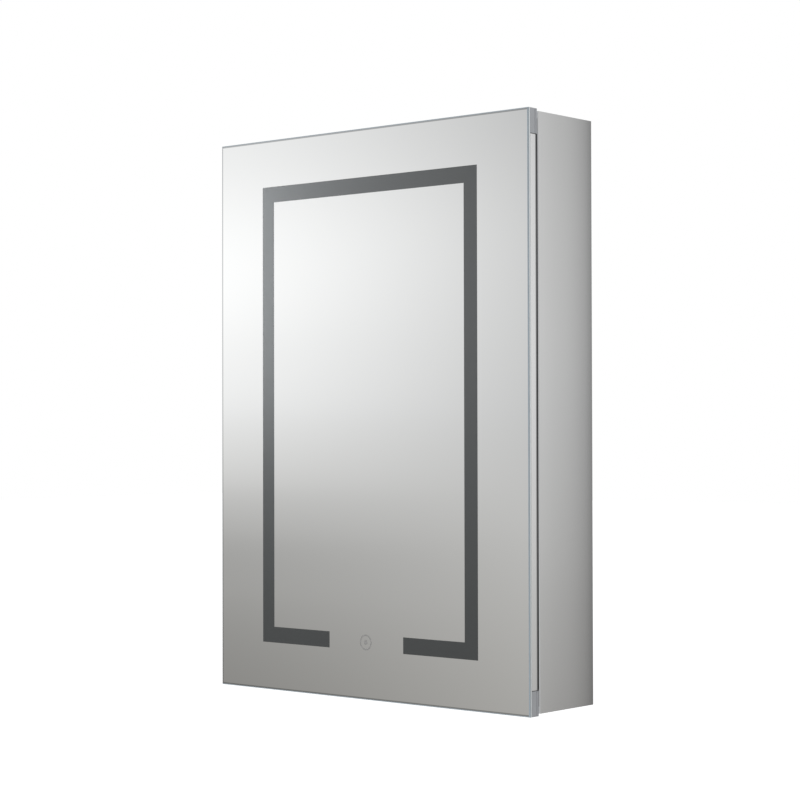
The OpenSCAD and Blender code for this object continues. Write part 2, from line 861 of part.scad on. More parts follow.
// section of a corner block's legs
module block_section() {
    difference() {
        union() {
            square([frame_w, frame_d - rear_r]);
            translate([rear_r, 0]) square([frame_w - rear_r, frame_d]);
            translate([rear_r, frame_d - rear_r]) circle(rear_r);
            translate([frame_w - eps, frame_d - inner_glass_t - ledge_t])
                square([ledge_w + eps, ledge_t]);
        }
        translate([-1, frame_d - pull_d - groove_w]) square([1 + groove_d, groove_w]);
    }
}

// the plug that fills the end of a hollow frame bar
module spigot_section() {
    translate([pull_in + frame_wall + press, frame_wall + press])
        square([frame_w - pull_in - 2 * frame_wall - 2 * press,
                frame_d - 2 * frame_wall - 2 * press]);
}

module corner_block() {
    // leg along the side, then leg along the top, at the top left corner
    intersection() {
        translate([-door_w / 2, frame_y, door_h / 2 - block_l])
            linear_extrude(height = block_l) block_section();
        translate([-door_w / 2, frame_y - 1, door_h / 2 - block_l]) leg_cut();
    }
    intersection() {
        translate([-door_w / 2, frame_y, door_h / 2]) rotate([0, 90, 0])
            linear_extrude(height = block_l) block_section();
        translate([-door_w / 2, frame_y - 1, door_h / 2]) rotate([0, 90, 0])
            mirror([0, 0, 1]) translate([0, 0, -block_l]) leg_cut();
    }
    translate([-door_w / 2, frame_y, door_h / 2 - block_l - spigot_l])
        linear_extrude(height = spigot_l + eps) spigot_section();
    translate([-door_w / 2 + block_l - eps, frame_y, door_h / 2]) rotate([0, 90, 0])
        linear_extrude(height = spigot_l + eps) spigot_section();
}

// keeps a leg on its own side of the mitre through the corner
module leg_cut() {
    translate([0, frame_d + 2, 0]) rotate([90, 0, 0]) linear_extrude(height = frame_d + 2)
        polygon([[0, 0], [block_l, 0], [0, block_l]]);
}

module door_corner_blocks() {
    color("darkgray") left_right() up_down() corner_block();
}

module inner_mirror() {
    w = door_w - 2 * frame_w - 2 * fit;
    h = door_h - 2 * frame_w - 2 * fit;
    color("lightsteelblue") difference() {
        span([-w / 2, door_back - inner_glass_t, -h / 2], [w / 2, door_back, h / 2]);
        rod_y(lead_bore + 2 * grommet_wall + fit, door_hole.x, door_hole.z,
              door_back - inner_glass_t - 1, door_back + 1);
    }
}

// ---------- lighting in the door ----------

// the runs of the band, each as [centre x, centre z, length, upright]
function runs() = let (
    x = band_x - band_w / 2, z = band_z - band_w / 2,
    level_l = 2 * (band_x - band_w), stub_l = (level_l - band_gap) / 2)
    [[-x, 0, 2 * band_z, true], [x, 0, 2 * band_z, true], [0, z, level_l, false],
     [-(band_gap + stub_l) / 2, -z, stub_l, false], [(band_gap + stub_l) / 2, -z, stub_l, false]];

// a bar along one run: w across the band, from y0 to y1, shortened at both ends
module run_bar(r, w, y0, y1, short = 0) {
    l = r[2] - 2 * short;
    size = r[3] ? [w, l] : [l, w];
    translate([r[0] - size[0] / 2, y0, r[1] - size[1] / 2]) cube([size[0], y1 - y0, size[1]]);
}

module light_channels() {
    color("silver") for (r = runs()) difference() {
        run_bar(r, band_w, channel_y, channel_y + channel_d);
        run_bar(r, band_w - 2 * channel_wall, channel_y - 1, channel_y + channel_d - channel_wall,
                -1);
    }
}

module diffuser_strips() {
    color("white") for (r = runs())
        run_bar(r, band_w - 2 * channel_wall - 2 * press, channel_y, channel_y + diffuser_t);
}

module light_strips() {
    back = channel_y + channel_d - channel_wall;
    for (r = runs()) {
        count = floor((r[2] - 2 * strip_end) / lamp_pitch);
        color("white") run_bar(r, strip_w, back - strip_t, back, 1);
        color("khaki") for (i = [0 : count - 1]) {
            s = (i - (count - 1) / 2) * lamp_pitch;
            translate([r[0] + (r[3] ? 0 : s), back - strip_t - lamp_proud, r[1] + (r[3] ? s : 0)])
                cube([lamp_l, lamp_t, lamp_w], center = true);
        }
    }
}

module heated_pad() {
    color("orange") translate([-pad_w / 2, pane_back, -pad_h / 2]) cube([pad_w, pad_t, pad_h]);
}

module touch_sensor() {
    color("dimgray") span([-sensor_l / 2, pane_back, icon_z - sensor_h / 2],
                           [sensor_l / 2, pane_back + sensor_t, icon_z + sensor_h / 2]);
}

module door_junction() {
    color("whitesmoke") difference() {
        translate([junction_x, junction_back - junction_d, door_hole.z - junction_h / 2])
            cube([junction_l, junction_d, junction_h]);
        rod_y(lead_bore, door_hole.x, door_hole.z, junction_back - lead_in - 1, junction_back + 1);
    }
}

// a wire to the nearest light channel, and one round below the channels to the touch sensor
module door_wiring() {
    x = door_hole.x;
    y = junction_wire_y;
    bottom = door_hole.z - junction_h / 2;
    side = junction_x + junction_l;
    side_z = door_hole.z + 4;
    strip_y = channel_y + channel_d / 2;
    sensor_y = pane_back + sensor_t / 2;
    z = -band_z - sensor_drop;
    color("firebrick") {
        wire([[side, y, side_z], [side + 5, y, side_z], [-band_x - 5, strip_y, side_z],
              [-band_x, strip_y, side_z]], wire_d);
        wire([[x, y, bottom], [x, y, bottom - 12], [x, y, z + 10], [x + 2, y, z + 4],
              [x + 8, y, z], [-12, y, z], [-3, y, z + 2], [0, (y + sensor_y) / 2, z + 7],
              [0, sensor_y, z + 13], [0, sensor_y, icon_z - sensor_h / 2]], wire_d);
    }
}

module door_grommet() {
    rim = lead_bore + 2 * (grommet_wall + 1.5);
    color("black") difference() {
        union() {
            rod_y(lead_bore + 2 * grommet_wall, door_hole.x, door_hole.z,
                  door_back - inner_glass_t, door_back + grommet_rim_t);
            rod_y(rim, door_hole.x, door_hole.z, door_back, door_back + grommet_rim_t);
        }
        rod_y(lead_bore, door_hole.x, door_hole.z,
              door_back - inner_glass_t - 1, door_back + grommet_rim_t + 1);
    }
}

// ---------- nodes ----------

side_panel_left();
side_panel_right();
top_panel();
bottom_panel();
corner_cleats();
back_panel();
wall_spacers();
front_seal();
corner_buffers();
shelf_lower();
shelf_middle();
shelf_upper();
shelf_pins();
hinge_leaf_body();
hinge_pin();
hinge_rivets_body();
catch_housings();
catch_magnets();
catch_pole_plates();
catch_screws();
driver_cover();
cover_screws();
led_driver();
driver_screws();
terminal_block();
supply_wires();
cable_grommet();
cover_grommet();
door_lead();
mirror_pane();
frosted_band();
touch_ring();
bonding_tape();
door_frame_left();
door_frame_right();
door_frame_top();
door_frame_bottom();
door_corner_blocks();
inner_mirror();
light_channels();
light_strips();
diffuser_strips();
heated_pad();
touch_sensor();
door_junction();
door_wiring();
door_grommet();
hinge_leaf_door();
hinge_rivets_door();
strike_plates();
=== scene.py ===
import json
import math

import bmesh
import bpy
from mathutils import Matrix, Vector


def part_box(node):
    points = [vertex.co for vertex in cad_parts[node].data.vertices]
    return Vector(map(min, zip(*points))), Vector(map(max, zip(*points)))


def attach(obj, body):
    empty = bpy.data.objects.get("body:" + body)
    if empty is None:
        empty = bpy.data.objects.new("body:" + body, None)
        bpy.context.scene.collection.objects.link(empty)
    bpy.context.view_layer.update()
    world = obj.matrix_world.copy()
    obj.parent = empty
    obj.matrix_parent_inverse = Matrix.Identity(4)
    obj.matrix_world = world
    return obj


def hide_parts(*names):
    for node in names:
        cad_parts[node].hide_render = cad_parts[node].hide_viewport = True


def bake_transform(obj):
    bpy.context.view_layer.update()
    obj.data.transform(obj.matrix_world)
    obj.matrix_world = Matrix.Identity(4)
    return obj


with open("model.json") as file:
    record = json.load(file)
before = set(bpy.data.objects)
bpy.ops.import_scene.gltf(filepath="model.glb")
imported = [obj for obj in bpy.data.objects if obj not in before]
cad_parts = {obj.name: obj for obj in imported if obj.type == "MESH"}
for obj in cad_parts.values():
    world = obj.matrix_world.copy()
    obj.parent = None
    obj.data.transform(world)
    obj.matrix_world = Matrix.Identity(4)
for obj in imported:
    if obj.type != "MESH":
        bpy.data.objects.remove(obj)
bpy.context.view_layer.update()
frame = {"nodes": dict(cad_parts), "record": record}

MM = 0.001
GLASS_IOR = 1.52
SHELF_IOR = 1.5
ROUNDED_FROM = 38    # degrees: edges sharper than this are rounded
BODY_OF = {n: b for b, names in frame["record"]["behaviour"]["bodies"].items() for n in names}
SLOT_OF = {s["node"]: s["material_slot"] for s in frame["record"]["subparts"]}


def lo(node):
    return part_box(node)[0]


def hi(node):
    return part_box(node)[1]


def middle(node):
    return (Vector(lo(node)) + Vector(hi(node))) / 2


# ---------------------------------------------------------------- materials

def add(tree, kind, **inputs):
    """A shader node. Keywords, with _ for a space, set its inputs or its properties."""
    made = tree.nodes.new(kind)
    for key, value in inputs.items():
        socket = made.inputs.get(key.replace("_", " "))
        if socket is None:
            setattr(made, key, value)
        elif isinstance(value, bpy.types.NodeSocket):
            tree.links.new(value, socket)
        else:
            socket.default_value = value
    return made


def place(tree, scale=(1, 1, 1)):
    """Object coordinates in metres, stretched by scale."""
    coord = add(tree, "ShaderNodeTexCoord")
    return add(tree, "ShaderNodeMapping", Vector=coord.outputs["Object"], Scale=scale).outputs[0]


def noise(tree, scale, stretch=(1, 1, 1), detail=3.0, rough=0.55):
    tex = add(tree, "ShaderNodeTexNoise", Vector=place(tree, stretch), Scale=scale, Detail=detail,
              Roughness=rough)
    return tex.outputs["Fac"]


def spread(tree, value, low, high):
    """value, which is from 0 to 1, mapped to low..high."""
    made = add(tree, "ShaderNodeMapRange", Value=value)
    made.inputs["From Min"].default_value = 0.25
    made.inputs["From Max"].default_value = 0.75
    made.inputs["To Min"].default_value = low
    made.inputs["To Max"].default_value = high
    return made.outputs[0]


def blend_colour(tree, value, a, b):
    made = add(tree, "ShaderNodeMix", data_type="RGBA")
    tree.links.new(value, made.inputs[0])
    made.inputs[6].default_value = (*a, 1)
    made.inputs[7].default_value = (*b, 1)
    return made.outputs[2]


def scaled(colour, factor):
    return tuple(min(1.0, c * factor) for c in colour)


def shader(name):
    mat = bpy.data.materials.new(name)
    mat.use_nodes = True
    tree = mat.node_tree
    return mat, tree, tree.nodes["Principled BSDF"]


def put(tree, socket, value):
    if isinstance(value, bpy.types.NodeSocket):
        tree.links.new(value, socket)
    else:
        socket.default_value = value


def bumped(tree, bsdf, height, depth, strength=1.0):
    bump = add(tree, "ShaderNodeBump", Height=height, Strength=strength, Distance=depth)
    tree.links.new(bump.outputs[0], bsdf.inputs["Normal"])


def varied(tree, value, colour, vary):
    """The colour, a little darker and lighter from place to place."""
    return blend_colour(tree, spread(tree, value, 0.0, 1.0),
                        scaled(colour, 1 - vary), scaled(colour, 1 + vary))


def metal(name, colour, rough, along=2, lines=1.0, vary=0.06, scatter=0.05):
    """Satin metal with fine lines that run along one axis."""
    mat, tree, bsdf = shader(name)
    stretch = [900.0, 900.0, 900.0]
    stretch[along] = 5.0
    fine = noise(tree, 1.0, tuple(stretch), detail=4.0, rough=0.6)
    broad = noise(tree, 9.0, (1, 1, 0.5), detail=2.0)
    put(tree, bsdf.inputs["Base Color"], varied(tree, broad, colour, vary))
    put(tree, bsdf.inputs["Roughness"], spread(tree, fine, rough - scatter, rough + scatter))
    bsdf.inputs["Metallic"].default_value = 1.0
    bumped(tree, bsdf, fine, 0.00003 * lines, 0.35)
    return mat


def cast(name, colour, rough, grain=1400.0, depth=0.00004, metallic=0.0, coat=0.0, vary=0.08):
    """A moulded, painted or cast surface with a fine grain."""
    mat, tree, bsdf = shader(name)
    fine = noise(tree, grain, detail=3.0)
    broad = noise(tree, 14.0, detail=3.0)
    put(tree, bsdf.inputs["Base Color"], varied(tree, broad, colour, vary))
    put(tree, bsdf.inputs["Roughness"], spread(tree, broad, rough - 0.04, rough + 0.05))
    bsdf.inputs["Metallic"].default_value = metallic
    bsdf.inputs["Coat Weight"].default_value = coat
    bumped(tree, bsdf, fine, depth, 0.6)
    return mat


def axis_place(tree, axis, low, high):
    """0 to 1 along one axis between two places."""
    coord = add(tree, "ShaderNodeTexCoord")
    parts = add(tree, "ShaderNodeSeparateXYZ", Vector=coord.outputs["Object"])
    made = add(tree, "ShaderNodeMapRange", Value=parts.outputs[axis])
    made.inputs["From Min"].default_value = low
    made.inputs["From Max"].default_value = high
    return made.outputs[0]


def mix_by(tree, factor, a, b):
    made = add(tree, "ShaderNodeMix", data_type="RGBA")
    tree.links.new(factor, made.inputs[0])
    tree.links.new(a, made.inputs[6])
    tree.links.new(b, made.inputs[7])
    return made.outputs[2]


def near_outline(tree, node, width):
    """1 within width of a flat piece's left, top or bottom edge, and 0 inside."""
    coord = add(tree, "ShaderNodeTexCoord")
    parts = add(tree, "ShaderNodeSeparateXYZ", Vector=coord.outputs["Object"])
    tall = add(tree, "ShaderNodeMath", operation="ABSOLUTE")
    tree.links.new(parts.outputs["Z"], tall.inputs[0])
    left = add(tree, "ShaderNodeMapRange", Value=parts.outputs["X"])
    left.inputs["From Min"].default_value = lo(node).x + width + RIM_SHADE_SOFT
    left.inputs["From Max"].default_value = lo(node).x + width
    ends = add(tree, "ShaderNodeMapRange", Value=tall.outputs[0])
    ends.inputs["From Min"].default_value = hi(node).z - width - RIM_SHADE_SOFT
    ends.inputs["From Max"].default_value = hi(node).z - width
    either = add(tree, "ShaderNodeMath", operation="MAXIMUM")
    tree.links.new(left.outputs[0], either.inputs[0])
    tree.links.new(ends.outputs[0], either.inputs[1])
    return either.outputs[0]


RIM_SHADE_WIDTH = 2.7 * MM     # how far the painted shade reaches in from the outline
RIM_SHADE_SOFT = 0.2 * MM


def mirror(name, colour, dull):
    """Silvered glass: a very faint haze breaks its reflection, and a duller rim along the left, top and
    bottom edges is painted shade.
    """
    mat, tree, bsdf = shader(name)
    haze = noise(tree, 6.0, detail=5.0, rough=0.65)
    silver = blend_colour(tree, spread(tree, haze, 0.0, 1.0), scaled(colour, 0.995), colour)
    shaded_rim = blend_colour(tree, spread(tree, haze, 0.0, 1.0), scaled(dull, 0.95), dull)
    # the duller colour near the left, top and bottom edges is painted shade
    put(tree, bsdf.inputs["Base Color"],
        mix_by(tree, near_outline(tree, "mirror_pane", RIM_SHADE_WIDTH), silver, shaded_rim))
    put(tree, bsdf.inputs["Roughness"], spread(tree, haze, 0.0, 0.012))
    bsdf.inputs["Metallic"].default_value = 1.0
    return mat


EDGE_DARK_TO = 1.3 * MM     # from the front of the glass
EDGE_LIT_FROM = 1.9 * MM    # from its back


def pane_edge(name, deep, lit):
    """The mirror's polished edge: painted shade behind the bevel, then a painted highlight towards the
    back, for light from inside the glass.
    """
    mat, tree, bsdf = shader(name)
    marks = noise(tree, 1.0, (40, 1800, 40), detail=3.0)
    front, back = lo("mirror_pane").y, hi("mirror_pane").y
    depth = axis_place(tree, "Y", front + EDGE_DARK_TO, back - EDGE_LIT_FROM)
    dark = blend_colour(tree, spread(tree, marks, 0.0, 1.0), scaled(deep, 0.8), deep)
    bright = blend_colour(tree, spread(tree, marks, 0.0, 1.0), scaled(lit, 0.94), lit)
    # dark to bright along the edge's depth: painted shade, then a painted highlight
    put(tree, bsdf.inputs["Base Color"], mix_by(tree, depth, dark, bright))
    put(tree, bsdf.inputs["Roughness"], spread(tree, marks, 0.12, 0.2))
    bsdf.inputs["IOR"].default_value = GLASS_IOR
    bsdf.inputs["Metallic"].default_value = 0.35
    return mat


def cut_glass(name, deep, light, rough, silvered=0.0, gloss=0.5):
    """The polished or ground edge of a glass sheet, seen as a dark tint."""
    mat, tree, bsdf = shader(name)
    marks = noise(tree, 1.0, (40, 1800, 40), detail=3.0)
    put(tree, bsdf.inputs["Base Color"], blend_colour(tree, spread(tree, marks, 0.0, 1.0), deep, light))
    put(tree, bsdf.inputs["Roughness"], spread(tree, marks, rough, rough + 0.06))
    bsdf.inputs["IOR"].default_value = GLASS_IOR
    bsdf.inputs["Metallic"].default_value = silvered
    bsdf.inputs["Specular IOR Level"].default_value = gloss
    bumped(tree, bsdf, marks, 0.00001, 0.3)
    return mat


def etched(name, colour, rough, sheen=0.5):
    """Frosted glass: a fine even sparkle under a smooth face."""
    mat, tree, bsdf = shader(name)
    sand = noise(tree, 2600.0, detail=2.0)
    broad = noise(tree, 12.0, detail=2.0)
    put(tree, bsdf.inputs["Base Color"], varied(tree, broad, colour, 0.05))
    put(tree, bsdf.inputs["Roughness"], spread(tree, sand, rough - 0.05, rough + 0.05))
    bsdf.inputs["IOR"].default_value = GLASS_IOR
    bsdf.inputs["Specular IOR Level"].default_value = sheen
    bumped(tree, bsdf, sand, 0.000004, 0.4)
    return mat


def clear_glass(name, tint):
    mat, tree, bsdf = shader(name)
    haze = noise(tree, 20.0, detail=4.0)
    put(tree, bsdf.inputs["Roughness"], spread(tree, haze, 0.0, 0.02))
    put(tree, bsdf.inputs["Base Color"],
        blend_colour(tree, spread(tree, haze, 0.0, 1.0), scaled(tint, 0.99), tint))
    bsdf.inputs["Transmission Weight"].default_value = 1.0
    bsdf.inputs["IOR"].default_value = SHELF_IOR
    return mat


BODY_METAL = (0.83, 0.83, 0.83)
DOOR_METAL = (0.93, 0.93, 0.935)

MATERIALS = {
    "body_aluminium": metal("body_aluminium", BODY_METAL, 0.24, lines=0.08, vary=0.008, scatter=0.02),
    "body_level": metal("body_level", BODY_METAL, 0.24, along=0, lines=0.08, vary=0.008, scatter=0.02),
    "door_aluminium": metal("door_aluminium", DOOR_METAL, 0.20, lines=0.15, vary=0.01, scatter=0.02),
    "door_level": metal("door_level", DOOR_METAL, 0.20, along=0, lines=0.15, vary=0.01, scatter=0.02),
    # door_recess_shade: a darker metal that is painted shade on the door frame's set-in band and on the
    # corner blocks' rear edge
    "door_recess_shade": metal("door_recess_shade", (0.26, 0.26, 0.265), 0.34, lines=0.15, vary=0.02),
    # groove: near-black, painted shade in the corner blocks' fine groove and in the seams at the ends of
    # their legs
    "groove": cast("groove", (0.05, 0.05, 0.052), 0.6),
    "cast_metal": cast("cast_metal", (0.93, 0.915, 0.89), 0.33, grain=1500.0, depth=0.00001,
                       metallic=1.0, vary=0.02),
    "back_sheet": cast("back_sheet", (0.78, 0.79, 0.80), 0.42, grain=1000.0, depth=0.00006, vary=0.02),
    "cover_paint": cast("cover_paint", (0.82, 0.83, 0.84), 0.40, grain=1000.0, depth=0.00006, vary=0.02),
    "grey_plastic": cast("grey_plastic", (0.40, 0.41, 0.43), 0.36, vary=0.04),
    "white_plastic": cast("white_plastic", (0.84, 0.84, 0.82), 0.38, vary=0.03),
    "dark_plastic": cast("dark_plastic", (0.05, 0.05, 0.055), 0.42),
    "seal_foam": cast("seal_foam", (0.012, 0.012, 0.013), 0.85, grain=900.0, depth=0.0002),
    "black_rubber": cast("black_rubber", (0.018, 0.018, 0.019), 0.6, grain=700.0, depth=0.00005),
    "bright_metal": metal("bright_metal", (0.80, 0.80, 0.79), 0.2, lines=0.3),
    "hinge_steel": metal("hinge_steel", (0.66, 0.66, 0.66), 0.3),
    "magnet": cast("magnet", (0.06, 0.06, 0.065), 0.5, metallic=0.5),
    "wire_brown": cast("wire_brown", (0.20, 0.07, 0.03), 0.4),
    "wire_red": cast("wire_red", (0.42, 0.03, 0.02), 0.4),
    "lead_white": cast("lead_white", (0.78, 0.78, 0.77), 0.45, grain=600.0),
    # mirror and inner_silver: the second colour is the painted shade of the rim
    "mirror": mirror("mirror", (0.955, 0.96, 0.96), (0.50, 0.51, 0.515)),
    "inner_silver": mirror("inner_silver", (0.93, 0.935, 0.935), (0.90, 0.905, 0.905)),
    "frosted_glass": etched("frosted_glass", (0.029, 0.0325, 0.0335), 0.40, 0.9),
    "icon_white": etched("icon_white", (0.31, 0.305, 0.30), 0.40),
    "strip_board": cast("strip_board", (0.82, 0.82, 0.78), 0.4),
    "diffuser": cast("diffuser", (0.88, 0.88, 0.87), 0.5, grain=500.0),
    "heater_foil": cast("heater_foil", (0.60, 0.30, 0.08), 0.3, coat=0.3),
    "glass_edge": cut_glass("glass_edge", (0.12, 0.145, 0.145), (0.17, 0.20, 0.205), 0.12, 0.25, 0.5),
    "pane_edge": pane_edge("pane_edge", (0.07, 0.085, 0.09), (0.78, 0.82, 0.84)),
    "arris": cut_glass("arris", (0.42, 0.485, 0.53), (0.48, 0.545, 0.60), 0.2, 0.5, 0.2),
    "tape": cast("tape", (0.50, 0.51, 0.51), 0.55, grain=800.0, depth=0.00004),
    "backing": cast("backing", (0.10, 0.10, 0.11), 0.5),
    "shelf_glass": clear_glass("shelf_glass", (0.93, 0.985, 0.965)),
    "shelf_edge": cut_glass("shelf_edge", (0.05, 0.20, 0.15), (0.10, 0.30, 0.24), 0.10),
}
LEVEL = {"top_panel": "body_level", "bottom_panel": "body_level",
         "door_frame_top": "door_level", "door_frame_bottom": "door_level"}


def finish_of(node):
    return MATERIALS[LEVEL.get(node, SLOT_OF[node])]


# ---------------------------------------------------------------- mesh helpers

def smooth_object(name, bm, node, sharp):
    """A smooth-shaded object from a bmesh, with the node's finish."""
    mesh = bpy.data.meshes.new(name)
    bm.to_mesh(mesh)
    bm.free()
    for face in mesh.polygons:
        face.use_smooth = True
    mesh.set_sharp_from_angle(angle=math.radians(sharp))
    made = bpy.data.objects.new(name, mesh)
    bpy.context.scene.collection.objects.link(made)
    mesh.materials.append(finish_of(node))
    return made


def new_piece(name, bm, node, sharp=35):
    """A finished piece from a bmesh: it rides where its CAD node does, and stands for it."""
    piece = smooth_object(name, bm, node, sharp)
    level = piece.modifiers.new("level_faces", "WEIGHTED_NORMAL")
    level.keep_sharp = True
    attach(piece, BODY_OF[node])
    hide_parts(node)
    return piece


def solid_of(node):
    """The CAD node's solid with its flat faces whole."""
    bm = bmesh.new()
    bm.from_mesh(frame["nodes"][node].data)
    bmesh.ops.remove_doubles(bm, verts=bm.verts, dist=2e-6)
    bmesh.ops.dissolve_limit(bm, angle_limit=math.radians(0.6), verts=bm.verts, edges=bm.edges)
    return bm


def round_edges(bm, width, segments=2):
    edges = [e for e in bm.edges
             if len(e.link_faces) == 2 and e.calc_face_angle(0) > math.radians(ROUNDED_FROM)]
    bmesh.ops.bevel(bm, geom=edges, offset=width, offset_type="OFFSET", segments=segments, profile=0.5,
                    affect="EDGES", clamp_overlap=True)


def rounded(node, width, segments=2):
    """The CAD node with its sharp edges rounded."""
    bm = solid_of(node)
    round_edges(bm, width, segments)
    return new_piece(node + "_finished", bm, node)


def keep(node):
    """The CAD node's own mesh, with a finished material."""
    mesh = frame["nodes"][node].data
    mesh.materials.clear()
    mesh.materials.append(finish_of(node))


# ---------------------------------------------------------------- camera and light

CAM_AT = (1.67711, -2.02098, -0.02443)
CAM_RIGHT = (0.75948, 0.65053, -0.00211)
CAM_UP = (0.01204, -0.01082, 0.99987)
CAM_LENS = 92.975
SENSOR = 36.0


def make_camera():
    data = bpy.data.cameras.new("camera")
    data.lens, data.sensor_width = CAM_LENS, SENSOR
    data.clip_start, data.clip_end = 0.05, 60
    cam = bpy.data.objects.new("camera", data)
    bpy.context.scene.collection.objects.link(cam)
    right, up = Vector(CAM_RIGHT).normalized(), Vector(CAM_UP).normalized()
    back = right.cross(up)
    turn = Matrix((right, up, back)).transposed().to_4x4()
    cam.matrix_world = Matrix.Translation(CAM_AT) @ turn
    bpy.context.scene.camera = cam


FILL = 0.55
FILL_COLOUR = (0.97, 0.985, 1.0)


def make_world():
    """White to the camera, and an even soft fill to everything else."""
    world = bpy.data.worlds.new("studio")
    world.use_nodes = True
    tree = world.node_tree
    tree.nodes.clear()
    path = add(tree, "ShaderNodeLightPath")
    seen = add(tree, "ShaderNodeBackground", Strength=1.0)
    seen.inputs[0].default_value = (1, 1, 1, 1)
    lit = add(tree, "ShaderNodeBackground", Strength=FILL)
    lit.inputs[0].default_value = FILL_COLOUR + (1,)
    mix = add(tree, "ShaderNodeMixShader")
    tree.links.new(path.outputs["Is Camera Ray"], mix.inputs[0])
    tree.links.new(lit.outputs[0], mix.inputs[1])
    tree.links.new(seen.outputs[0], mix.inputs[2])
    tree.links.new(mix.outputs[0], add(tree, "ShaderNodeOutputWorld").inputs[0])
    bpy.context.scene.world = world


def area_light(name, at, towards, size, power, colour=(1, 1, 1), spread_deg=180):
    data = bpy.data.lights.new(name, "AREA")
    data.shape, data.size, data.size_y = "RECTANGLE", size[0], size[1]
    data.energy, data.color = power, colour
    data.spread = math.radians(spread_deg)
    lamp = bpy.data.objects.new(name, data)
    bpy.context.scene.collection.objects.link(lamp)
    lamp.location = at
    lamp.rotation_euler = (Vector(towards) - Vector(at)).to_track_quat("-Z", "Y").to_euler()
    lamp.visible_camera = False
    return lamp


def stage_plane(name, corners, mat):
    mesh = bpy.data.meshes.new(name)
    mesh.from_pydata(corners, [], [(0, 1, 2, 3)])
    plane = bpy.data.objects.new(name, mesh)
    bpy.context.scene.collection.objects.link(plane)
    mesh.materials.append(mat)
    return plane


def fill_ramp(ramp, stops, tint):
    """The stops are (place, grey); tint multiplies the colour."""
    while len(ramp.elements) < len(stops):
        ramp.elements.new(0.5)
    for element, (at, grey) in zip(ramp.elements, stops):
        element.position = at
        element.color = (grey * tint[0], grey * tint[1], grey * tint[2], 1)


def warm_below(tree, height, colour):
    """The studio's light is a little warm low down."""
    tint = add(tree, "ShaderNodeMix", data_type="RGBA")
    tree.links.new(height, tint.inputs[0])
    tint.inputs[6].default_value = (1.02, 1.0, 0.955, 1)
    tint.inputs[7].default_value = (0.995, 0.998, 0.995, 1)
    return multiplied(tree, colour, tint.outputs[2])


def multiplied(tree, a, b):
    made = add(tree, "ShaderNodeMix", data_type="RGBA", blend_type="MULTIPLY")
    made.inputs[0].default_value = 1.0
    tree.links.new(a, made.inputs[6])
    tree.links.new(b, made.inputs[7])
    return made.outputs[2]


def linear(grey):
    """Display grey, 0 to 1, as light."""
    return grey / 12.92 if grey <= 0.04045 else ((grey + 0.055) / 1.055) ** 2.4


# The card that the mirror shows. It stands parallel to the mirror: a bright pool at the upper
# left that falls off to the right and below. Heights are those at which it shows in the mirror.
SKY_Y = -2.0
SKY_BRIGHT = [(-0.35, 0.54), (-0.24, 0.605), (-0.16, 0.665), (-0.09, 0.79),
              (0.0, 0.91), (0.10, 0.97), (0.21, 0.995), (0.35, 0.93)]
SKY_DULL = [(-0.35, 0.645), (-0.15, 0.725), (0.0, 0.775), (0.20, 0.81), (0.35, 0.76)]
SKY_SPAN = 0.35
SKY_HALF_WIDTH = 0.25
SKY_CURVE = 1.35
SKY_STRENGTH = 1.05
SKY_HALF_SIZE = 3.2


def ramp_of(tree, value, stops, tint=(1, 1, 1)):
    ramp = add(tree, "ShaderNodeValToRGB", Fac=value)
    ramp.color_ramp.interpolation = "CARDINAL"
    fill_ramp(ramp.color_ramp, [(at, linear(grey)) for at, grey in stops], tint)
    return ramp.outputs[0]


def emitter(name):
    mat = bpy.data.materials.new(name)
    mat.use_nodes = True
    tree = mat.node_tree
    tree.nodes.clear()
    glow = add(tree, "ShaderNodeEmission", Strength=1.0)
    tree.links.new(glow.outputs[0], add(tree, "ShaderNodeOutputMaterial").inputs[0])
    return mat, tree, glow


def shown_at(x, z):
    """Where the sky card shows at (x, z) of the mirror, seen from the camera."""
    face = lo("mirror_pane").y
    reach = (face - SKY_Y + face - CAM_AT[1]) / (face - CAM_AT[1])
    return CAM_AT[0] + (x - CAM_AT[0]) * reach, CAM_AT[2] + (z - CAM_AT[2]) * reach


def make_sky():
    mat, tree, glow = emitter("sky_card")
    left, bottom = shown_at(-SKY_HALF_WIDTH, -SKY_SPAN)
    right, top = shown_at(SKY_HALF_WIDTH, SKY_SPAN)
    height = axis_place(tree, "Z", bottom, top)
    across = add(tree, "ShaderNodeMath", operation="POWER", use_clamp=True)
    tree.links.new(axis_place(tree, "X", left, right), across.inputs[0])
    across.inputs[1].default_value = SKY_CURVE
    bright, dull = ([((z + SKY_SPAN) / (2 * SKY_SPAN), grey) for z, grey in stops]
                    for stops in (SKY_BRIGHT, SKY_DULL))
    graded = mix_by(tree, across.outputs[0], ramp_of(tree, height, bright), ramp_of(tree, height, dull))
    put(tree, glow.inputs[0], warm_below(tree, axis_place(tree, "Z", bottom, (bottom + top) / 2), graded))
    glow.inputs[1].default_value = SKY_STRENGTH
    half = SKY_HALF_SIZE
    x = (left + right) / 2
    card = stage_plane("sky_card", [(x - half, SKY_Y, -half), (x + half, SKY_Y, -half),
                                    (x + half, SKY_Y, half), (x - half, SKY_Y, half)], mat)
    card.visible_camera = False
    card.visible_shadow = False


# The cards beside the cabinet, level with its back, which grade its sides from front to back.
WALL_Y = 0.012
WALL_OUT = 0.13
WALL_TALL = 0.75
WALL_FADE = 0.6
WALL_FAR = 1.7
WALL_HALF_HEIGHT = 1.0
WALL_STEPS = [(0.0, 0.48), (0.12, 0.66), (0.22, 0.73), (0.36, 0.78), (0.55, 0.81), (1.0, 0.90)]
WALL_FALL = [(0.0, 0.72), (0.26, 0.815), (0.37, 0.90), (0.5, 0.98),
             (0.633, 1.0), (0.75, 0.96), (1.0, 0.93)]


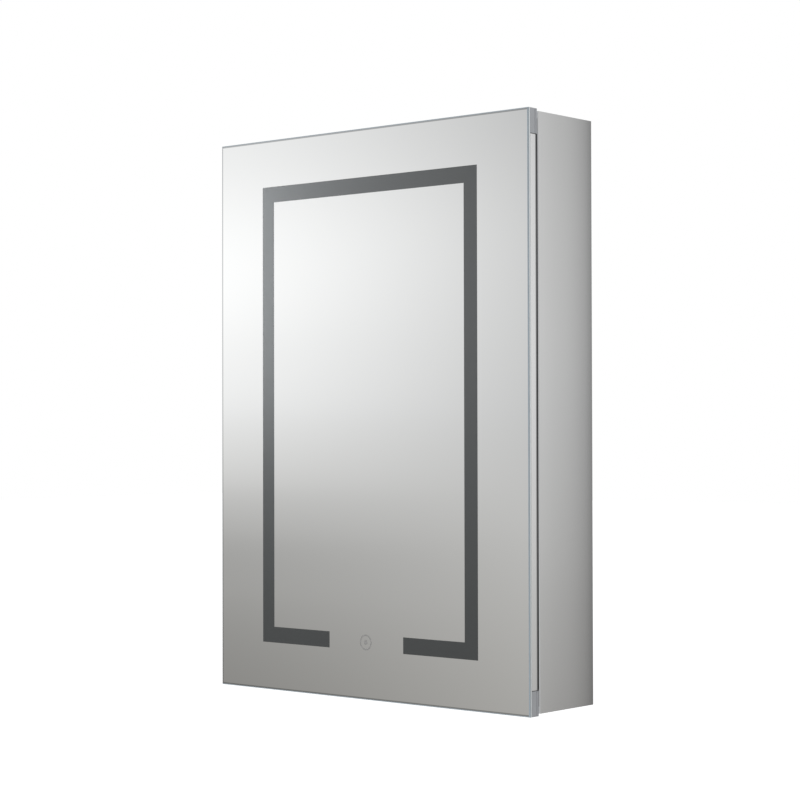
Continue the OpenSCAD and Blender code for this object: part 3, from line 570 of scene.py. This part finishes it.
def make_wall_card(side):
    mat, tree, glow = emitter("wall_card")
    near, far = side * (hi("side_panel_right").x + MM), side * WALL_FAR
    half = WALL_HALF_HEIGHT
    graded = ramp_of(tree, axis_place(tree, "X", near, near + side * WALL_OUT), WALL_STEPS)
    fall = ramp_of(tree, axis_place(tree, "Z", -WALL_TALL, WALL_TALL), WALL_FALL)
    both = warm_below(tree, axis_place(tree, "Z", -WALL_TALL, 0), multiplied(tree, graded, fall))
    faded = add(tree, "ShaderNodeMix", data_type="RGBA")
    tree.links.new(axis_place(tree, "X", side * WALL_FADE, far), faded.inputs[0])
    tree.links.new(both, faded.inputs[6])
    faded.inputs[7].default_value = tuple(FILL * c for c in FILL_COLOUR) + (1,)
    put(tree, glow.inputs[0], faded.outputs[2])
    card = stage_plane("wall_card", [(near, WALL_Y, -half), (far, WALL_Y, -half),
                                     (far, WALL_Y, half), (near, WALL_Y, half)], mat)
    card.visible_camera = False


FLOOR_Z = -1.3
FLOOR_HALF_SIZE = 30
FLOOR_GLOW = 0.62


def make_floor():
    mat, tree, bsdf = shader("floor")
    soft = noise(tree, 3.0, detail=2.0)
    put(tree, bsdf.inputs["Base Color"],
        blend_colour(tree, spread(tree, soft, 0, 1), (0.90, 0.90, 0.90), (0.92, 0.92, 0.92)))
    bsdf.inputs["Roughness"].default_value = 0.8
    bsdf.inputs["Emission Color"].default_value = (1, 1, 1, 1)
    bsdf.inputs["Emission Strength"].default_value = FLOOR_GLOW
    half = FLOOR_HALF_SIZE
    floor = stage_plane("floor", [(-half, -half, FLOOR_Z), (half, -half, FLOOR_Z),
                                  (half, half, FLOOR_Z), (-half, half, FLOOR_Z)], mat)
    floor.visible_glossy = False


KEY_AT = (-0.80, -0.36, 0.26)
KEY_AIM = (-0.15, -0.12, 0.16)


def light_only(lamp_name, *names):
    """The key grazes the etched glass alone, as a lamp with a snoot and flags would."""
    lit = bpy.data.collections.new(lamp_name + "_lit")
    for name in names:
        lit.objects.link(bpy.data.objects[name])
    bpy.data.objects[lamp_name].light_linking.receiver_collection = lit


def make_light():
    make_world()
    make_sky()
    make_wall_card(1)
    make_wall_card(-1)
    make_floor()
    area_light("key", KEY_AT, KEY_AIM, size=(0.25, 0.5), power=2.4, colour=(0.93, 0.97, 1.0),
               spread_deg=100)
    area_light("top", at=(0.4, -0.3, 1.7), towards=(0.1, 0, 0), size=(0.8, 0.8), power=5)
    area_light("back", at=(0, 2.4, 2.0), towards=(0, 0, 0), size=(2.4, 1.6), power=6)
    bpy.context.scene.view_settings.view_transform = "Standard"


# ---------------------------------------------------------------- door pieces

def make_pane():
    """The mirror: silvered front, polished bevels, dark glass edge, painted back."""
    bm = solid_of("mirror_pane")
    piece = new_piece("mirror_glass", bm, "mirror_pane", sharp=20)
    mesh = piece.data
    for name in ("arris", "pane_edge", "backing"):
        mesh.materials.append(MATERIALS[name])
    front = lo("mirror_pane").y
    back = hi("mirror_pane").y
    for face in mesh.polygons:
        centre, n = face.center, face.normal
        face.use_smooth = False
        if n.y < -0.99 and centre.y < front + 0.1 * MM:
            face.material_index = 0
        elif n.y < -0.3:
            face.material_index = 1
        elif centre.y > back - 0.1 * MM:
            face.material_index = 3
        else:
            face.material_index = 2


PULL_D = 5 * MM


def edge_distance(point):
    """How far a point of the door is inside its outline, seen from the front."""
    top = hi("mirror_pane")
    return min(top.x - abs(point.x), top.z - abs(point.z))


def paint_recess_shade(piece):
    """The set-in rear edge of the door frame, given a darker metal: painted shade in the recess."""
    rear = hi("door_frame_left").y
    piece.data.materials.append(MATERIALS["door_recess_shade"])
    for face in piece.data.polygons:
        c = face.center
        if c.y > rear - PULL_D - 0.1 * MM and 0.5 * MM < edge_distance(c) < 4 * MM:
            face.material_index = 1


SEAM = 0.7 * MM
SEAM_DEEP = 0.35 * MM
GROOVE_FROM = 0.3 * MM      # the fine groove round the corner blocks, from the outline
GROOVE_TO = 0.62 * MM
GROOVE_LONG = 4 * MM        # from the blocks' rear face
GROOVE_SOLID = 2.6 * MM


def from_seam(point):
    """How far a point is from the plane where a corner block's leg meets its frame bar."""
    end_x, end_z = hi("door_frame_top").x, hi("door_frame_right").z
    return min(abs(abs(point.x) - end_x) if abs(point.z) > end_z else 1,
               abs(abs(point.z) - end_z) if abs(point.x) > end_x else 1)


def cut_seams(bm):
    """A fine chamfer round the end of each leg of the corner blocks."""
    end_x, end_z = hi("door_frame_top").x, hi("door_frame_right").z
    for axis, end in ((0, end_x), (2, end_z)):
        for sign in (1, -1):
            at, normal = Vector(), Vector()
            at[axis], normal[axis] = sign * (end + SEAM), sign
            bmesh.ops.bisect_plane(bm, geom=bm.verts[:] + bm.edges[:] + bm.faces[:], plane_co=at,
                                   plane_no=normal, dist=1e-7)
    for v in bm.verts:
        if from_seam(v.co) < 0.01 * MM and edge_distance(v.co) < 0.1 * MM:
            axis = 0 if abs(v.co.x) > end_x + SEAM else 2
            v.co[axis] -= math.copysign(SEAM_DEEP, v.co[axis])


def make_corner_blocks():
    bm = solid_of("door_corner_blocks")
    cut_seams(bm)
    piece = new_piece("door_corner_blocks_finished", bm, "door_corner_blocks")
    piece.data.materials.append(MATERIALS["groove"])
    piece.data.materials.append(MATERIALS["door_recess_shade"])
    groove_back = hi("door_frame_left").y - GROOVE_LONG
    for face in piece.data.polygons:
        c = face.center
        # the fine groove and the seams at the legs' ends are painted near-black: painted shade
        grooved = GROOVE_FROM < edge_distance(c) < GROOVE_TO and c.y < groove_back
        if grooved or (from_seam(c) < 0.9 * SEAM and edge_distance(c) < 1 * MM):
            face.material_index = 1
        # the blocks' rear edge takes the darker recess metal: painted shade
        elif c.y > groove_back + GROOVE_SOLID and edge_distance(c) < 4 * MM:
            face.material_index = 2


TAPE_SHOWS = 0.3 * MM


def make_tape():
    """The clear-edged tape behind the glass, squeezed out almost to the outline."""
    bm = solid_of("bonding_tape")
    far = hi("mirror_pane")
    for v in bm.verts:
        if edge_distance(v.co) < 3 * MM:
            v.co.x = math.copysign(far.x - TAPE_SHOWS, v.co.x)
            v.co.z = math.copysign(far.z - TAPE_SHOWS, v.co.z)
    piece = new_piece("bonding_tape_edge", bm, "bonding_tape")
    piece.data.materials[0] = MATERIALS["tape"]


def make_inner_mirror():
    """The mirror inside the door, silvered on its rear face and with a thin ground bevel."""
    bm = solid_of("inner_mirror")
    round_edges(bm, 0.6 * MM, segments=1)
    piece = new_piece("inner_mirror_glass", bm, "inner_mirror", sharp=20)
    piece.data.materials[0] = MATERIALS["inner_silver"]
    piece.data.materials.append(MATERIALS["arris"])
    piece.data.materials.append(MATERIALS["glass_edge"])
    for face in piece.data.polygons:
        face.use_smooth = False
        face.material_index = 0 if face.normal.y > 0.99 else 1 if abs(face.normal.y) > 0.3 else 2


# how far each piece's edges are rounded, in millimetres
DOOR_ROUNDING = {
    "hinge_leaf_door": 0.12, "hinge_rivets_door": 0.3, "strike_plates": 0.3, "door_grommet": 0.5,
    "door_junction": 1.0, "touch_sensor": 0.8, "light_channels": 0.15, "diffuser_strips": 0.3,
    "heated_pad": 0.08}


def make_door():
    make_pane()
    for node in ("frosted_band", "touch_ring"):
        rounded(node, 0.12 * MM, segments=1)
    make_tape()
    for node in ("door_frame_left", "door_frame_right", "door_frame_top", "door_frame_bottom"):
        paint_recess_shade(rounded(node, 0.3 * MM))
    make_corner_blocks()
    make_inner_mirror()
    for node, width in DOOR_ROUNDING.items():
        rounded(node, width * MM, segments=3 if "rivets" in node else 2)


# ---------------------------------------------------------------- cabinet pieces

CABINET_ROUNDING = {
    "back_panel": 0.3, "wall_spacers": 0.6, "driver_cover": 0.4, "led_driver": 0.8,
    "terminal_block": 0.7, "catch_housings": 0.6, "front_seal": 0.5, "corner_buffers": 0.8,
    "shelf_pins": 0.5, "hinge_leaf_body": 0.12, "hinge_rivets_body": 0.3, "catch_pole_plates": 0.15,
    "catch_magnets": 0.2, "catch_screws": 0.45, "cover_screws": 0.45, "driver_screws": 0.45,
    "cable_grommet": 0.5, "cover_grommet": 0.4}


def make_cabinet():
    for node in ("side_panel_left", "side_panel_right", "top_panel", "bottom_panel"):
        rounded(node, 0.25 * MM)
    for node, width in CABINET_ROUNDING.items():
        rounded(node, width * MM, segments=3 if "rivets" in node or "screws" in node else 2)
    for node in ("shelf_lower", "shelf_middle", "shelf_upper"):
        make_shelf(node)


def make_shelf(node):
    """A glass shelf with ground, polished edges that show the glass's green."""
    bm = solid_of(node)
    round_edges(bm, 0.8 * MM, segments=2)
    piece = new_piece(node + "_glass", bm, node)
    piece.data.materials.append(MATERIALS["shelf_edge"])
    for face in piece.data.polygons:
        if abs(face.normal.z) < 0.5:
            face.material_index = 1


def smooth_line(pts, steps):
    """A smooth line through the points."""
    line = []
    for i in range(len(pts) - 1):
        a, b = pts[max(i - 1, 0)], pts[i]
        c, d = pts[i + 1], pts[min(i + 2, len(pts) - 1)]
        for k in range(steps):
            t = k / steps
            line.append(0.5 * ((2 * b) + (c - a) * t + (2 * a - 5 * b + 4 * c - d) * t * t
                               + (3 * b - a - 3 * c + d) * t ** 3))
    return line + [pts[-1]]


def curve_tube(name, points, radius, node, sides=14, steps=8):
    """A round tube along a smooth line through the points."""
    line = smooth_line(points, steps)
    bm = bmesh.new()
    rings = []
    side = None
    for i, at in enumerate(line):
        ahead = (line[min(i + 1, len(line) - 1)] - line[max(i - 1, 0)]).normalized()
        side = ahead.orthogonal() if side is None else side - ahead * side.dot(ahead)
        side.normalize()
        other = ahead.cross(side)
        turn = [2 * math.pi * k / sides for k in range(sides)]
        rings.append([bm.verts.new(at + side * (radius * math.cos(t)) + other * (radius * math.sin(t)))
                      for t in turn])
    for a, b in zip(rings, rings[1:]):
        for k in range(sides):
            n = (k + 1) % sides
            bm.faces.new((a[k], a[n], b[n], b[k]))
    bm.faces.new(reversed(rings[0]))
    bm.faces.new(rings[-1])
    bmesh.ops.recalc_face_normals(bm, faces=bm.faces)
    tube = smooth_object(name, bm, node, sharp=50)
    return tube


LEAD_D = 4 * MM


def off(point, x, y, z):
    """The point, moved by millimetres."""
    return point + MM * Vector((x, y, z))


def make_lead():
    """The lead from the driver to the door, which bends where it crosses the hinge."""
    cover = middle("cover_grommet")
    door = middle("door_grommet")
    start = off(Vector((lo("led_driver").x, lo("back_panel").y, middle("led_driver").z)), 11.8, -13, 0)
    junction = Vector((door.x, hi("door_junction").y - 3.5 * MM, door.z))
    face = Vector((door.x, hi("inner_mirror").y, door.z))
    steps = [start, off(start, -8, 0, 0), off(start, -20, -1, 1), off(start, -38, -4, 3),
             off(cover, 42, 17, 29), off(cover, 20, 8, 30), off(cover, 5, 1, 21),
             off(cover, 0, 0, 10), cover, off(cover, 0, 0, -10), off(cover, 0, -2, -24),
             off(cover, 0, -6, -38), off(face, -5, 43, 58), off(face, -4, 36, 44),
             off(face, -3, 28, 31), off(face, -2, 20, 19), off(face, -1, 13, 9),
             off(face, 0, 8, 3), off(face, 0, 4, 0), off(face, 0, -2, 0), junction]
    tube = curve_tube("door_lead_tube", steps, LEAD_D / 2, "door_lead")
    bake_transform(tube)
    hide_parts("door_lead")


# ---------------------------------------------------------------- the scene

make_camera()
make_light()
make_door()
make_cabinet()
make_lead()
light_only("key", "frosted_band_finished", "touch_ring_finished")
for cad_name, cad_obj in frame["nodes"].items():
    if not cad_obj.hide_render:
        keep(cad_name)
